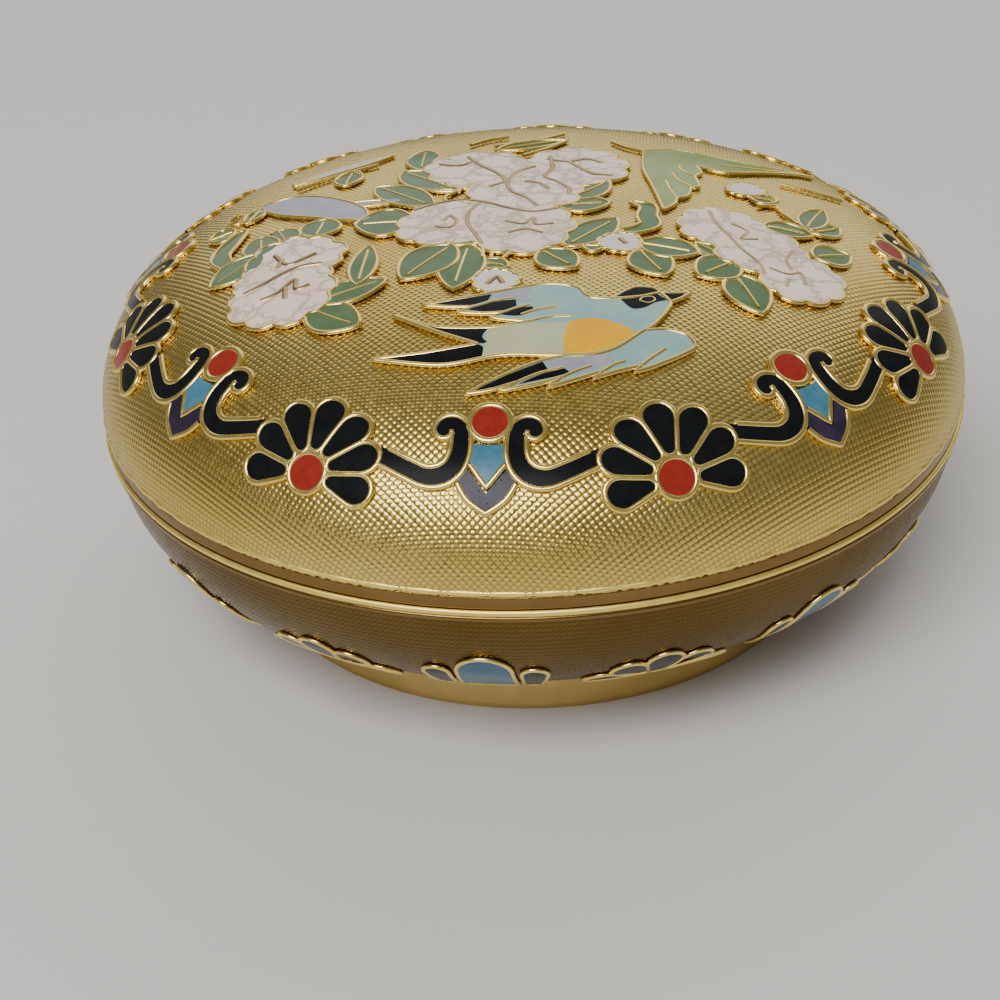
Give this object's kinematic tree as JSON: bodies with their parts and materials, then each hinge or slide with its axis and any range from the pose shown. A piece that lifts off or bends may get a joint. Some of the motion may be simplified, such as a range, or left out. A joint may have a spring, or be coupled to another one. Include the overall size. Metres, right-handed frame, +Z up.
{
  "type": "cloisonne enamel box",
  "caption": "Round footed trinket box in gilt brass with a lift-off domed lid, raised enamel peonies and birds on its crown, and palmette borders.",
  "frame": {"origin": "centre of the foot ring's underside, on the surface that the box stands on", "axes": "+Z up along the axis of the round body; -Y towards the first scroll motif of the lid's border, the front of the picture; +X to the right"},
  "size_m": [0.11, 0.11, 0.0501],
  "materials": {
    "gilt_brass": "satin gilt, stamped fine lattice ground",
    "black_enamel": "glossy fired enamel",
    "red_enamel": "glossy fired enamel",
    "blue_enamel": "glossy fired enamel",
    "pink_enamel": "glossy fired enamel",
    "white_enamel": "glossy fired enamel",
    "green_enamel": "glossy fired enamel",
    "turquoise_enamel": "glossy fired enamel",
    "lavender_enamel": "glossy fired enamel",
    "leaf_green_enamel": "glossy fired enamel"
  },
  "bodies": {
    "root": {"lid": "gilt_brass", "bowl": "gilt_brass", "lid_border": "black_enamel", "bowl_palmette_1": "black_enamel", "bowl_palmette_2": "black_enamel", "bowl_palmette_3": "black_enamel", "bowl_palmette_4": "black_enamel", "bowl_palmette_5": "black_enamel", "bowl_palmette_6": "black_enamel", "bowl_palmette_7": "black_enamel", "bowl_palmette_8": "black_enamel", "lid_scroll_dot_1": "red_enamel", "lid_scroll_dot_2": "red_enamel", "lid_scroll_dot_3": "red_enamel", "lid_scroll_dot_4": "red_enamel", "lid_scroll_dot_5": "red_enamel", "lid_scroll_dot_6": "red_enamel", "lid_scroll_dot_7": "red_enamel", "lid_scroll_dot_8": "red_enamel", "lid_palmette_dot_1": "red_enamel", "lid_palmette_dot_2": "red_enamel", "lid_palmette_dot_3": "red_enamel", "lid_palmette_dot_4": "red_enamel", "lid_palmette_dot_5": "red_enamel", "lid_palmette_dot_6": "red_enamel", "lid_palmette_dot_7": "red_enamel", "lid_palmette_dot_8": "red_enamel", "bowl_lobe_1": "blue_enamel", "bowl_lobe_2": "blue_enamel", "bowl_lobe_3": "blue_enamel", "bowl_lobe_4": "blue_enamel", "bowl_lobe_5": "blue_enamel", "bowl_lobe_6": "blue_enamel", "bowl_lobe_7": "blue_enamel", "bowl_lobe_8": "blue_enamel", "peony_left": "pink_enamel", "peony_centre": "pink_enamel", "peony_right": "pink_enamel", "bud_front": "white_enamel", "bud_middle": "white_enamel", "bud_right": "white_enamel", "wing_left": "white_enamel", "leaves_left_upper": "green_enamel", "leaves_left_lower": "green_enamel", "leaves_centre_left": "green_enamel", "leaves_centre_below": "green_enamel", "leaves_centre_right": "green_enamel", "leaves_middle_curl": "green_enamel", "leaf_centre_low": "green_enamel", "leaves_middle_right": "green_enamel", "leaves_right_lower": "green_enamel", "leaves_right_upper": "green_enamel", "leaf_right_side": "green_enamel", "leaves_far_left": "green_enamel", "leaf_back_left": "green_enamel", "leaves_back": "green_enamel", "bird_front": "turquoise_enamel", "bird_left": "lavender_enamel", "bird_back": "leaf_green_enamel"}
  },
  "joints": []
}
